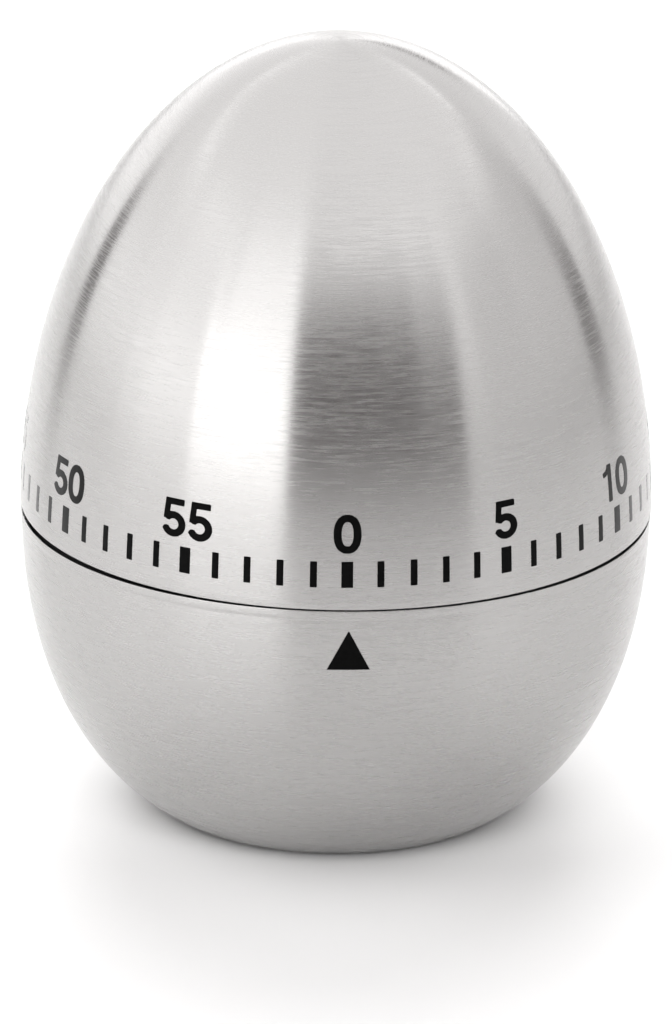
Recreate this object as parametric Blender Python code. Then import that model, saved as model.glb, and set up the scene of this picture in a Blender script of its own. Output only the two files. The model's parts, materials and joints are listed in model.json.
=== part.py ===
"""Mechanical egg timer: a brushed steel dome turns on a steel bowl and winds a clockwork movement with a bell.

Millimetres in the constants, metres in the objects. Z is up, the lowest face of the rubber foot lies at Z = 0 and the
pointer side faces -Y. Every moving piece has its origin on the axis that it turns about.
"""

import math

import bmesh
import bpy
from mathutils import Matrix, Vector
from mathutils.geometry import tessellate_polygon

MM = 0.001

# shells
SEAM_Z = 29.8
SEAM_GAP = 0.3
DOME_RADIUS = 30.0
DOME_HEIGHT = 46.0
BOWL_RADIUS = 29.88
BOWL_DEPTH_SCALE = 32.71
BOWL_DEPTH_POWER = 2.10
BOWL_RADIUS_POWER = 2.79
BOWL_BOTTOM_Z = 0.4
STEEL = 0.6
CLEAR = 0.3
BASE_RECESS_RADIUS = 15.3
BASE_RECESS_Z = 2.9
SHELL_BORE = 3.0
SHELL_SEGMENTS = 40
DRUM_SEGMENTS = 28
DOME_RINGS = 10
BOWL_RINGS = 9

# base
COVER_RADIUS = 15.0
COVER_TOP_Z = 2.6
FOOT_INNER = 11.2
FOOT_OUTER = 13.6
FOOT_TOP_Z = 1.0
BASE_SCREW_CIRCLE = 7.5
BASE_SCREW_ANGLES = (90.0, 210.0, 330.0)

# inner housing
HOUSING_WALL = 1.2
HOUSING_FLOOR_Z = 3.8
HOUSING_FLOOR_TOP_Z = 5.0
HOUSING_TOP_Z = 29.2
LEDGE_TOP_Z = 14.1
LEDGE_BOTTOM_Z = 11.0
LEDGE_RADIUS = 20.6
BOSS_RADIUS = 2.0
BOSS_TOP_Z = 9.2

# bell
BELL_RADIUS = 15.5
BELL_RIM_Z = 6.3
BELL_CROWN_Z = 12.3
BELL_CORNER = 4.0

# movement plates
LOWER_PLATE_Z = 14.4
UPPER_PLATE_Z = 24.6
PLATE_THICKNESS = 0.8
LOWER_PLATE_RADIUS = 24.4
UPPER_PLATE_RADIUS = 23.4
PILLAR_CIRCLE = 21.8
PILLAR_RADIUS = 1.4
PILLAR_ANGLES = (5.0, 125.0, 245.0)
PLATE_SCREW_CIRCLE = 22.7
PLATE_SCREW_ANGLES = (65.0, 185.0, 305.0)
PIVOT_TOP_Z = 25.2
PIVOT_BOTTOM_Z = 14.2

# arbors, as places in plan
SECOND_AT = (0.0, 14.4)
THIRD_AT = (9.81, 11.6)
ESCAPE_AT = (14.6, 4.02)
STRIKE_AT = (-11.796, -8.259)
PALLET_AT = (15.2, -3.5)
HAMMER_AT = (-17.5, 1.0)
RELEASE_AT = (9.0, -7.5)
STOP_AT = (0.0, -16.0)

# going train: module and teeth
GREAT_MODULE = 0.4
GREAT_TEETH = 64
SECOND_MODULE = 0.3
SECOND_TEETH = 60
THIRD_MODULE = 0.25
THIRD_TEETH = 64
PINION_TEETH = 8
ESCAPE_TEETH = 15
ESCAPE_TIP = 4.7
ESCAPE_ROOT = 3.7
STAR_TEETH = 10
STAR_TIP = 4.2
STAR_ROOT = 3.0

# main arbor and what it carries
ARBOR_RADIUS = 1.5
ARBOR_BORE = 1.75
PLATE_BORE = 1.8
BARREL_RADIUS = 13.6
BARREL_WALL = 0.6
BARREL_FLOOR_Z = 25.7
BARREL_TOP_Z = 32.3
SPRING_TURNS = 4.5
SPRING_STEPS_PER_TURN = 16
SPRING_STRIP = 0.25
STOP_SEPARATION = 6.0

SMALL_SEGMENTS = 12
HOLE_SEGMENTS = 10
BIG_HOLE_SEGMENTS = 16


def clear_scene():
    for item in list(bpy.data.objects):
        bpy.data.objects.remove(item, do_unlink=True)


def polar(radius, degrees):
    angle = math.radians(degrees)
    return (radius * math.cos(angle), radius * math.sin(angle))


def circle(radius, segments, centre=(0.0, 0.0)):
    """Counter-clockwise ring of points."""
    points = []
    for i in range(segments):
        x, y = polar(radius, 360.0 * i / segments)
        points.append((centre[0] + x, centre[1] + y))
    return points


def hull(points):
    """Counter-clockwise convex outline of plan points."""
    ordered = sorted(set(points))

    def half(sequence):
        chain = []
        for p in sequence:
            while len(chain) > 1:
                a, b = chain[-2], chain[-1]
                turn = (b[0] - a[0]) * (p[1] - a[1]) - (b[1] - a[1]) * (p[0] - a[0])
                if turn > 1e-9:
                    break
                chain.pop()
            chain.append(p)
        return chain

    lower = half(ordered)
    upper = half(reversed(ordered))
    return lower[:-1] + upper[:-1]


def moved(points, x=0.0, y=0.0, turn=0.0):
    """Plan points turned about the origin by degrees, then shifted."""
    c = math.cos(math.radians(turn))
    s = math.sin(math.radians(turn))
    return [(x + px * c - py * s, y + px * s + py * c) for px, py in points]


def bar(end, end_radius, hub_radius, half_width=0.6):
    """Lever with a round hub at the origin, a straight shank and a round end."""
    length = math.hypot(*end)
    neck = math.degrees(math.asin(half_width / hub_radius))
    throat = 180.0 - math.degrees(math.asin(half_width / end_radius))
    outline = [polar(hub_radius, neck + i * (360.0 - 2 * neck) / 10) for i in range(11)]
    tip = [polar(end_radius, -throat + i * 2 * throat / 8) for i in range(9)]
    outline += moved(tip, x=length)
    return moved(outline, turn=math.degrees(math.atan2(end[1], end[0])))


def turned_body(profile, segments=SMALL_SEGMENTS):
    """Closed body of revolution about Z from a closed loop of (radius, height) points."""
    bm = bmesh.new()
    rings = []
    for radius, height in profile:
        if radius <= 1e-9:
            rings.append([bm.verts.new((0.0, 0.0, height))])
            continue
        rings.append([bm.verts.new((x, y, height)) for x, y in circle(radius, segments)])
    for index, ring in enumerate(rings):
        following = rings[(index + 1) % len(rings)]
        if len(ring) == 1 and len(following) == 1:
            continue
        for i in range(segments):
            j = (i + 1) % segments
            corners = [ring[i % len(ring)], ring[j % len(ring)]]
            corners += [following[j % len(following)], following[i % len(following)]]
            face = list(dict.fromkeys(corners))
            bm.faces.new(face)
    return outward(bm)


def slab(outline, low, high, holes=()):
    """Flat piece cut to an outline with holes, between two heights."""
    bm = bmesh.new()
    loops = [list(outline)] + [list(h) for h in holes]
    flat = [p for loop in loops for p in loop]
    bottom = [bm.verts.new((x, y, low)) for x, y in flat]
    top = [bm.verts.new((x, y, high)) for x, y in flat]
    polygons = [[Vector((x, y, 0.0)) for x, y in loop] for loop in loops]
    for a, b, c in tessellate_polygon(polygons):
        bm.faces.new((top[a], top[b], top[c]))
        bm.faces.new((bottom[c], bottom[b], bottom[a]))
    start = 0
    for loop in loops:
        count = len(loop)
        for i in range(count):
            a = start + i
            b = start + (i + 1) % count
            bm.faces.new((bottom[a], bottom[b], top[b], top[a]))
        start += count
    return outward(bm)


def outward(bm):
    bmesh.ops.recalc_face_normals(bm, faces=bm.faces)
    if bm.calc_volume(signed=True) < 0:
        bmesh.ops.reverse_faces(bm, faces=bm.faces)
    return bm


def scratch(bm, name="scratch"):
    mesh = bpy.data.meshes.new(name)
    bm.to_mesh(mesh)
    bm.free()
    thing = bpy.data.objects.new(name, mesh)
    bpy.context.scene.collection.objects.link(thing)
    return thing


def combined(bm, tools, operation):
    """The body with each tool body united with it or cut out of it."""
    target = scratch(bm)
    for tool_bm in tools:
        tool = scratch(tool_bm, "tool")
        modifier = target.modifiers.new("combine", "BOOLEAN")
        modifier.operation = operation
        modifier.solver = "EXACT"
        modifier.object = tool
        bpy.context.view_layer.update()
        result = bmesh.new()
        result.from_object(target, bpy.context.evaluated_depsgraph_get())
        target.modifiers.remove(modifier)
        bpy.data.objects.remove(tool, do_unlink=True)
        result.to_mesh(target.data)
        result.free()
    out = bmesh.new()
    out.from_mesh(target.data)
    bpy.data.objects.remove(target, do_unlink=True)
    bmesh.ops.remove_doubles(out, verts=out.verts, dist=1e-4)
    return outward(out)


def united(bm, *tools):
    return combined(bm, tools, "UNION")


def cut(bm, *tools):
    return combined(bm, tools, "DIFFERENCE")


def rod(radius, low, high, centre=(0.0, 0.0), segments=SMALL_SEGMENTS):
    return slab(circle(radius, segments, centre), low, high)


def finish(name, bm, colour, metallic, roughness, at=(0.0, 0.0)):
    """Names the body, scales it to metres and gives it its own material. `at` is its axis in plan."""
    bmesh.ops.triangulate(bm, faces=bm.faces)
    bmesh.ops.transform(bm, matrix=Matrix.Scale(MM, 4), verts=bm.verts)
    mesh = bpy.data.meshes.new(name)
    bm.to_mesh(mesh)
    bm.free()
    piece = bpy.data.objects.new(name, mesh)
    bpy.context.scene.collection.objects.link(piece)
    piece.location = (at[0] * MM, at[1] * MM, 0.0)
    material = bpy.data.materials.new(name)
    material.use_nodes = True
    shader = material.node_tree.nodes["Principled BSDF"]
    shader.inputs["Base Color"].default_value = (*colour, 1.0)
    shader.inputs["Metallic"].default_value = metallic
    shader.inputs["Roughness"].default_value = roughness
    mesh.materials.append(material)
    return piece


BRUSHED = ((0.62, 0.62, 0.61), 1.0, 0.32)
PLATED = ((0.70, 0.69, 0.66), 1.0, 0.38)
POLISHED = ((0.60, 0.61, 0.62), 1.0, 0.22)
BRASS = ((0.78, 0.58, 0.26), 1.0, 0.30)
BLACK_PLASTIC = ((0.02, 0.02, 0.02), 0.0, 0.55)
NYLON = ((0.80, 0.79, 0.74), 0.0, 0.45)
RUBBER = ((0.03, 0.03, 0.03), 0.0, 0.80)
SPRING_STEEL = ((0.16, 0.18, 0.24), 1.0, 0.30)
BELL_METAL = ((0.74, 0.72, 0.68), 1.0, 0.16)


def dome_line():
    """Outside of the dome from its top to its rim."""
    last = math.asin(0.5 * SEAM_GAP / DOME_HEIGHT)
    points = []
    for i in range(DOME_RINGS + 1):
        angle = math.pi / 2 + (last - math.pi / 2) * i / DOME_RINGS
        radius = 0.0 if i == 0 else DOME_RADIUS * math.cos(angle)
        points.append((radius, SEAM_Z + DOME_HEIGHT * math.sin(angle)))
    return points


def bowl_radius(depth):
    share = (max(depth, 0.0) / BOWL_DEPTH_SCALE) ** BOWL_DEPTH_POWER
    return BOWL_RADIUS * (1.0 - share) ** (1.0 / BOWL_RADIUS_POWER)


def bowl_line():
    """Outside of the bowl from its rim to the edge of its flat base."""
    first = 0.5 * SEAM_GAP
    deepest = SEAM_Z - BOWL_BOTTOM_Z
    points = []
    for i in range(BOWL_RINGS + 1):
        share = math.sin(0.5 * math.pi * i / BOWL_RINGS)
        depth = first + (deepest - first) * share
        points.append((bowl_radius(depth), SEAM_Z - depth))
    return points


def inset(points, distance):
    """A line running down the outside of a shell, moved inwards by a thickness."""
    result = []
    for i, (radius, height) in enumerate(points):
        before = points[max(i - 1, 0)]
        after = points[min(i + 1, len(points) - 1)]
        run = after[0] - before[0]
        rise = after[1] - before[1]
        length = math.hypot(run, rise)
        inner = radius + distance * rise / length
        if radius == 0.0:
            result.append((0.0, height - distance))
        else:
            result.append((max(inner, 0.0), height - distance * run / length))
    return result


def radius_at(points, height):
    """Radius of a line running downwards at a height."""
    for (r0, z0), (r1, z1) in zip(points, points[1:]):
        if z1 <= height <= z0:
            return r0 + (r1 - r0) * (z0 - height) / (z0 - z1)
    return points[0][0] if height > points[0][1] else points[-1][0]


def stretch(points, high, low):
    """The part of a downward line between two heights, with its ends cut level."""
    inside = [p for p in points if low + 0.05 < p[1] < high - 0.05]
    return [(radius_at(points, high), high)] + inside + [(radius_at(points, low), low)]


def screw(head_radius, head_low, head_high, shank_radius, shank_end):
    """Pan-head screw. The shank runs from the head to shank_end, upwards or downwards."""
    if shank_end > head_high:
        profile = [(0.0, head_low), (head_radius * 0.8, head_low), (head_radius, head_low + 0.25)]
        profile += [(head_radius, head_high), (shank_radius, head_high)]
        profile += [(shank_radius, shank_end - 0.5), (0.0, shank_end)]
    else:
        profile = [(0.0, head_high), (head_radius * 0.8, head_high), (head_radius, head_high - 0.25)]
        profile += [(head_radius, head_low), (shank_radius, head_low)]
        profile += [(shank_radius, shank_end + 0.5), (0.0, shank_end)]
    return turned_body(profile)


def driver_slot(head_radius, low, high):
    """Cutter for the slot of a screw head."""
    width = 0.3
    reach = head_radius + 0.5
    return slab([(-reach, -width), (reach, -width), (reach, width), (-reach, width)], low, high)


def wheel_outline(teeth, module, phase=0.0):
    """Teeth of a clock wheel, four points each, with a tooth at the phase angle."""
    pitch_radius = teeth * module / 2
    step = 360.0 / teeth
    shape = ((-1.2, -0.28), (0.9, -0.12), (0.9, 0.12), (-1.2, 0.28))
    points = []
    for i in range(teeth):
        for height, side in shape:
            points.append(polar(pitch_radius + height * module, phase + (i + side) * step))
    return points


def pinion_outline(module, phase=0.0):
    """Leaves of a clock pinion, six points each, with a leaf at the phase angle."""
    pitch_radius = PINION_TEETH * module / 2
    step = 360.0 / PINION_TEETH
    shape = ((-1.25, -0.18), (0.0, -0.17), (0.7, -0.08), (0.7, 0.08), (0.0, 0.17), (-1.25, 0.18))
    points = []
    for i in range(PINION_TEETH):
        for height, side in shape:
            points.append(polar(pitch_radius + height * module, phase + (i + side) * step))
    return points


def meshing_phase(wheel_phase, teeth, wheel_at, pinion_at):
    """Angle of a pinion leaf that puts a gap opposite the wheel's tooth."""
    bearing = math.degrees(math.atan2(pinion_at[1] - wheel_at[1], pinion_at[0] - wheel_at[0]))
    lead = (bearing - wheel_phase) * teeth / 360.0
    return bearing + 180.0 + 180.0 / PINION_TEETH + lead * 360.0 / PINION_TEETH


def saw_outline(teeth, tip, root, lean):
    """Pointed teeth that lean one way, three points each."""
    step = 360.0 / teeth
    points = []
    for i in range(teeth):
        base = i * step
        points.append(polar(root, base))
        points.append(polar(root, base + step * 0.35))
        points.append(polar(tip, base + step * lean))
    return points


def ring_of_holes(radius, count, circle_radius, first=0.0, segments=HOLE_SEGMENTS):
    places = [polar(circle_radius, first + 360.0 * i / count) for i in range(count)]
    return [circle(radius, segments, place) for place in places]


def build_shells():
    outer = dome_line()
    inner = inset(outer, STEEL)
    inner[-1] = (inner[-1][0], outer[-1][1])
    finish("top_shell", turned_body(outer + inner[::-1], SHELL_SEGMENTS), *BRUSHED)

    outer = bowl_line()
    floor_z = BOWL_BOTTOM_Z + STEEL
    wall = inset(outer, STEEL)
    inner = stretch(wall, outer[0][1], floor_z)
    recess_outer = BASE_RECESS_RADIUS + STEEL
    recess_top = BASE_RECESS_Z + STEEL
    profile = outer + [(BASE_RECESS_RADIUS, BOWL_BOTTOM_Z), (BASE_RECESS_RADIUS, BASE_RECESS_Z)]
    profile += [(SHELL_BORE, BASE_RECESS_Z), (SHELL_BORE, recess_top)]
    profile += [(recess_outer, recess_top), (recess_outer, floor_z)]
    profile += inner[::-1]
    body = turned_body(profile, SHELL_SEGMENTS)
    holes = []
    for angle in BASE_SCREW_ANGLES:
        place = polar(BASE_SCREW_CIRCLE, angle)
        holes.append(rod(1.2, BASE_RECESS_Z - 1.0, recess_top + 1.0, place, HOLE_SEGMENTS))
    finish("bottom_shell", cut(body, *holes), *BRUSHED)


def build_base():
    groove_inner = FOOT_INNER - CLEAR
    groove_outer = FOOT_OUTER + CLEAR
    groove_top = FOOT_TOP_Z + CLEAR
    profile = [(0.0, BOWL_BOTTOM_Z), (groove_inner, BOWL_BOTTOM_Z), (groove_inner, groove_top)]
    profile += [(groove_outer, groove_top), (groove_outer, BOWL_BOTTOM_Z)]
    profile += [(COVER_RADIUS - 0.3, BOWL_BOTTOM_Z), (COVER_RADIUS, BOWL_BOTTOM_Z + 0.3)]
    profile += [(COVER_RADIUS, COVER_TOP_Z), (0.0, COVER_TOP_Z)]
    tools = []
    for angle in BASE_SCREW_ANGLES:
        place = polar(BASE_SCREW_CIRCLE, angle)
        tools.append(rod(1.2, BOWL_BOTTOM_Z - 1.0, COVER_TOP_Z + 1.0, place, HOLE_SEGMENTS))
        tools.append(rod(2.3, BOWL_BOTTOM_Z - 1.0, 1.8, place, BIG_HOLE_SEGMENTS))
    finish("base_cover", cut(turned_body(profile, SHELL_SEGMENTS), *tools), *BLACK_PLASTIC)

    ring = [(FOOT_INNER + 0.3, 0.0), (FOOT_OUTER - 0.3, 0.0), (FOOT_OUTER, 0.3)]
    ring += [(FOOT_OUTER, FOOT_TOP_Z), (FOOT_INNER, FOOT_TOP_Z), (FOOT_INNER, 0.3)]
    finish("foot_ring", turned_body(ring, SHELL_SEGMENTS), *RUBBER)

    for number, angle in enumerate(BASE_SCREW_ANGLES, 1):
        body = cut(screw(1.9, 0.7, 1.5, 0.85, 7.8), driver_slot(1.9, 0.2, 1.05))
        place = polar(BASE_SCREW_CIRCLE, angle)
        finish(f"base_screw_{number}", body, *PLATED, at=place)


def build_housing():
    shell = bowl_line()
    outer = inset(shell, STEEL + CLEAR)
    inner = inset(shell, STEEL + CLEAR + HOUSING_WALL)
    outside = stretch(outer, HOUSING_TOP_Z, HOUSING_FLOOR_Z)
    above = stretch(inner, HOUSING_TOP_Z, LEDGE_TOP_Z)
    below = stretch(inner, LEDGE_BOTTOM_Z - 1.6, HOUSING_FLOOR_TOP_Z)
    profile = outside + [(1.5, HOUSING_FLOOR_Z), (1.5, HOUSING_FLOOR_TOP_Z)]
    profile += below[::-1]
    profile += [(LEDGE_RADIUS, LEDGE_BOTTOM_Z), (LEDGE_RADIUS, LEDGE_TOP_Z)]
    profile += above[::-1]
    bosses = []
    holes = []
    for angle in BASE_SCREW_ANGLES:
        place = polar(BASE_SCREW_CIRCLE, angle)
        bosses.append(rod(BOSS_RADIUS, HOUSING_FLOOR_Z + 0.5, BOSS_TOP_Z, place, BIG_HOLE_SEGMENTS))
        holes.append(rod(1.15, HOUSING_FLOOR_Z - 1.0, BOSS_TOP_Z - 1.0, place, HOLE_SEGMENTS))
    for angle in PLATE_SCREW_ANGLES:
        place = polar(PLATE_SCREW_CIRCLE, angle)
        holes.append(rod(1.0, LEDGE_BOTTOM_Z + 0.6, LEDGE_TOP_Z + 1.0, place, HOLE_SEGMENTS))
    body = cut(united(turned_body(profile, SHELL_SEGMENTS), *bosses), *holes)
    finish("housing", body, *BLACK_PLASTIC)


def build_bell():
    outside = [(1.0, BELL_CROWN_Z), (BELL_RADIUS - BELL_CORNER, BELL_CROWN_Z)]
    centre_r = BELL_RADIUS - BELL_CORNER
    centre_z = BELL_CROWN_Z - BELL_CORNER
    for angle in (60.0, 30.0, 0.0):
        x, y = polar(BELL_CORNER, angle)
        outside.append((centre_r + x, centre_z + y))
    outside.append((BELL_RADIUS, BELL_RIM_Z))
    inside = inset(outside[1:], STEEL)
    inside[-1] = (inside[-1][0], BELL_RIM_Z)
    inside[0] = (inside[0][0], BELL_CROWN_Z - STEEL)
    profile = outside + inside[::-1] + [(1.0, BELL_CROWN_Z - STEEL)]
    finish("bell", turned_body(profile, DRUM_SEGMENTS), *BELL_METAL)

    post = [(0.0, 3.9), (1.2, 3.9), (1.2, 5.3), (2.4, 5.3), (2.4, 11.4)]
    post += [(0.95, 11.4), (0.95, 7.5), (0.0, 7.5)]
    finish("bell_post", turned_body(post), *PLATED)
    body = cut(screw(2.6, 12.6, 13.5, 0.7, 8.2), driver_slot(2.6, 13.05, 14.0))
    finish("bell_screw", body, *PLATED)


def build_plates():
    pillars = [polar(PILLAR_CIRCLE, angle) for angle in PILLAR_ANGLES]
    screws = [polar(PLATE_SCREW_CIRCLE, angle) for angle in PLATE_SCREW_ANGLES]
    pivots = (SECOND_AT, THIRD_AT, ESCAPE_AT, STRIKE_AT, PALLET_AT)
    shared = [circle(PLATE_BORE, BIG_HOLE_SEGMENTS)]
    shared += [circle(0.7, HOLE_SEGMENTS, place) for place in pivots]
    shared += [circle(1.05, HOLE_SEGMENTS, place) for place in pillars]
    shared += [circle(1.0, HOLE_SEGMENTS, HAMMER_AT)]
    lower = shared + [circle(1.05, HOLE_SEGMENTS, place) for place in screws]
    lower.append(circle(1.0, HOLE_SEGMENTS, RELEASE_AT))
    top = LOWER_PLATE_Z + PLATE_THICKNESS
    body = slab(circle(LOWER_PLATE_RADIUS, SHELL_SEGMENTS), LOWER_PLATE_Z, top, lower)
    finish("lower_plate", body, *PLATED)
    upper = shared + [circle(1.0, HOLE_SEGMENTS, STOP_AT)]
    top = UPPER_PLATE_Z + PLATE_THICKNESS
    body = slab(circle(UPPER_PLATE_RADIUS, SHELL_SEGMENTS), UPPER_PLATE_Z, top, upper)
    finish("upper_plate", body, *PLATED)

    for number, place in enumerate(pillars, 1):
        profile = [(0.0, PIVOT_BOTTOM_Z), (0.8, PIVOT_BOTTOM_Z), (0.8, 15.5), (PILLAR_RADIUS, 15.5)]
        profile += [(PILLAR_RADIUS, 24.3), (0.95, 24.3), (0.95, 20.4), (0.0, 20.4)]
        finish(f"pillar_{number}", turned_body(profile), *PLATED, at=place)
        body = cut(screw(1.7, 25.6, 26.4, 0.7, 21.0), driver_slot(1.7, 26.05, 27.0))
        finish(f"pillar_screw_{number}", body, *PLATED, at=place)
    for number, place in enumerate(screws, 1):
        body = cut(screw(1.7, 15.4, 16.2, 0.7, 12.0), driver_slot(1.7, 15.85, 17.0))
        finish(f"plate_screw_{number}", body, *PLATED, at=place)

    post = [(0.0, 14.3), (0.7, 14.3), (0.7, 15.4), (1.2, 15.4), (1.2, 19.7), (0.7, 19.7)]
    post += [(0.7, 21.1), (0.0, 21.1)]
    finish("release_post", turned_body(post), *PLATED, at=RELEASE_AT)
    post = [(0.0, 24.5), (0.75, 24.5), (0.75, 25.6), (1.3, 25.6), (1.3, 26.6), (0.8, 26.6)]
    post += [(0.8, 34.6), (0.0, 34.6)]
    finish("stop_post", turned_body(post), *PLATED, at=STOP_AT)


def build_mainspring():
    floor_top = BARREL_FLOOR_Z + BARREL_WALL
    inner = BARREL_RADIUS - BARREL_WALL
    profile = [(PLATE_BORE, BARREL_FLOOR_Z), (BARREL_RADIUS, BARREL_FLOOR_Z), (BARREL_RADIUS, BARREL_TOP_Z)]
    profile += [(inner, BARREL_TOP_Z), (inner, floor_top), (PLATE_BORE, floor_top)]
    finish("spring_barrel", turned_body(profile, DRUM_SEGMENTS), *PLATED)
    lid_low = BARREL_TOP_Z + CLEAR
    lid = slab(circle(BARREL_RADIUS, DRUM_SEGMENTS), lid_low, lid_low + BARREL_WALL, [circle(PLATE_BORE, SMALL_SEGMENTS)])
    finish("barrel_lid", lid, *PLATED)

    steps = int(SPRING_TURNS * SPRING_STEPS_PER_TURN)
    start_radius = 2.75
    end_radius = inner - 0.45
    outer_side = []
    inner_side = []
    for i in range(steps + 1):
        share = i / steps
        radius = start_radius + (end_radius - start_radius) * share
        degrees = 360.0 * SPRING_TURNS * share
        inner_side.append(polar(radius, degrees))
        outer_side.append(polar(radius + SPRING_STRIP, degrees))
    strip = outer_side + inner_side[::-1]
    finish("mainspring", strip_body(strip, floor_top + 0.4, BARREL_TOP_Z - 0.4), *SPRING_STEEL)


def strip_body(outline, low, high):
    """Body of a coiled strip whose outline runs out along one side and back along the other."""
    bm = bmesh.new()
    bottom = [bm.verts.new((x, y, low)) for x, y in outline]
    top = [bm.verts.new((x, y, high)) for x, y in outline]
    count = len(outline)
    for i in range(count):
        j = (i + 1) % count
        bm.faces.new((bottom[i], bottom[j], top[j], top[i]))
    for i in range(count // 2 - 1):
        near, far = i, i + 1
        back_far, back_near = count - 2 - i, count - 1 - i
        bm.faces.new((top[near], top[far], top[back_far], top[back_near]))
        bm.faces.new((bottom[back_near], bottom[back_far], bottom[far], bottom[near]))
    return outward(bm)


def build_dial():
    line = inset(dome_line(), STEEL + CLEAR)
    skirt = stretch(line, 40.0, 30.3)
    skirt_inner = 26.8
    profile = [(ARBOR_BORE, 34.7), (3.9, 34.7), (3.9, 36.5), (skirt_inner, 36.5), (skirt_inner, 30.3)]
    profile += skirt[::-1]
    profile += [(skirt_inner, 40.0), (skirt_inner, 38.0), (3.9, 38.0), (3.9, 43.0), (ARBOR_BORE, 43.0)]
    finish("dial_carrier", turned_body(profile, SHELL_SEGMENTS), *BLACK_PLASTIC)
    body = cut(screw(3.2, 43.3, 44.3, 0.7, 39.2), driver_slot(3.2, 43.8, 45.0))
    finish("dial_screw", body, *PLATED)

    r = ARBOR_RADIUS
    profile = [(0.0, 14.1), (r - 0.3, 14.1), (r, 14.4), (r, 26.5), (2.3, 26.5), (2.3, 32.1)]
    profile += [(r, 32.1), (r, 42.7), (0.95, 42.7), (0.95, 38.4), (0.0, 38.4)]
    finish("main_arbor", turned_body(profile, BIG_HOLE_SEGMENTS), *POLISHED)

    bore = circle(ARBOR_BORE, BIG_HOLE_SEGMENTS)
    openings = ring_of_holes(2.5, 4, 7.9, 45.0)
    rivet_at = (8.2, 0.0)
    rivet_hole = circle(0.7, HOLE_SEGMENTS, rivet_at)
    outline = wheel_outline(GREAT_TEETH, GREAT_MODULE)
    body = slab(outline, 21.7, 22.9, [bore, rivet_hole] + openings)
    finish("great_wheel", body, *BRASS)
    finish("ratchet_wheel", slab(saw_outline(20, 4.9, 4.2, 0.95), 23.2, 24.0, [bore]), *POLISHED)
    pawl = hull(circle(1.2, SMALL_SEGMENTS, rivet_at) + [(4.78, 2.3), (5.3, 2.7)])
    finish("click_pawl", slab(pawl, 23.2, 24.0, [circle(0.7, HOLE_SEGMENTS, rivet_at)]), *POLISHED)
    profile = [(0.0, 21.1), (1.0, 21.1), (1.0, 21.45), (0.5, 21.45), (0.5, 24.15)]
    profile += [(1.0, 24.15), (1.0, 24.35), (0.0, 24.35)]
    body = turned_body(profile)
    bmesh.ops.translate(body, vec=(rivet_at[0], rivet_at[1], 0.0), verts=body.verts)
    finish("click_rivet", body, *POLISHED)

    notch = 12.0
    rim = [polar(4.2, -90.0 + notch + i * (360.0 - 2 * notch) / 20) for i in range(21)]
    rim += [polar(3.2, -90.0 - notch), polar(3.2, -90.0 + notch)]
    finish("release_cam", slab(rim, 20.0, 20.8, [bore]), *POLISHED)

    half_width = 0.6
    arm_bearing = math.degrees(math.atan2(STOP_AT[1], STOP_AT[0])) - STOP_SEPARATION
    hub = [polar(4.4, 15.0 + i * 330.0 / 14) for i in range(15)]
    arm = hub + [(17.2, -half_width), (17.2, half_width)]
    finish("stop_arm", slab(moved(arm, turn=arm_bearing), 33.6, 34.4, [bore]), *POLISHED)


def arbor(radius, module=None, low=0.0, high=0.0, phase=0.0, top=PIVOT_TOP_Z, bottom=PIVOT_BOTTOM_Z):
    """Steel arbor with thin pivots in both plates and, if a module is given, pinion leaves cut on it."""
    pivot = 0.45
    inner_low = LOWER_PLATE_Z + PLATE_THICKNESS + CLEAR
    inner_high = UPPER_PLATE_Z - CLEAR
    profile = [(0.0, bottom), (pivot, bottom), (pivot, inner_low), (radius, inner_low)]
    profile += [(radius, inner_high), (pivot, inner_high), (pivot, top), (0.0, top)]
    body = turned_body(profile)
    if module is None:
        return body
    return united(body, slab(pinion_outline(module, phase), low, high))


def build_train():
    centre = (0.0, 0.0)
    phase = meshing_phase(0.0, GREAT_TEETH, centre, SECOND_AT)
    finish("second_arbor", arbor(0.6, GREAT_MODULE, 21.2, 23.4, phase), *POLISHED, at=SECOND_AT)
    holes = [circle(0.75, SMALL_SEGMENTS)] + ring_of_holes(2.0, 4, 5.2)
    outline = wheel_outline(SECOND_TEETH, SECOND_MODULE)
    finish("second_wheel", slab(outline, 16.2, 17.2, holes), *BRASS, at=SECOND_AT)

    phase = meshing_phase(0.0, SECOND_TEETH, SECOND_AT, THIRD_AT)
    finish("third_arbor", arbor(0.55, SECOND_MODULE, 15.8, 17.7, phase), *POLISHED, at=THIRD_AT)
    holes = [circle(0.7, SMALL_SEGMENTS)] + ring_of_holes(1.8, 4, 4.6)
    outline = wheel_outline(THIRD_TEETH, THIRD_MODULE)
    finish("third_wheel", slab(outline, 18.7, 19.5, holes), *NYLON, at=THIRD_AT)

    phase = meshing_phase(0.0, THIRD_TEETH, THIRD_AT, ESCAPE_AT)
    finish("escape_arbor", arbor(0.5, THIRD_MODULE, 18.2, 20.1, phase), *POLISHED, at=ESCAPE_AT)
    holes = [circle(0.65, SMALL_SEGMENTS)] + ring_of_holes(0.85, 4, 2.4)
    outline = saw_outline(ESCAPE_TEETH, ESCAPE_TIP, ESCAPE_ROOT, 0.9)
    finish("escape_wheel", slab(outline, 16.2, 16.9, holes), *NYLON, at=ESCAPE_AT)

    phase = meshing_phase(0.0, GREAT_TEETH, centre, STRIKE_AT)
    finish("strike_arbor", arbor(0.6, GREAT_MODULE, 21.2, 23.4, phase), *POLISHED, at=STRIKE_AT)
    outline = saw_outline(STAR_TEETH, STAR_TIP, STAR_ROOT, 0.7)
    holes = [circle(0.75, SMALL_SEGMENTS)]
    finish("strike_star", slab(outline, 17.0, 17.8, holes), *BRASS, at=STRIKE_AT)


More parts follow.
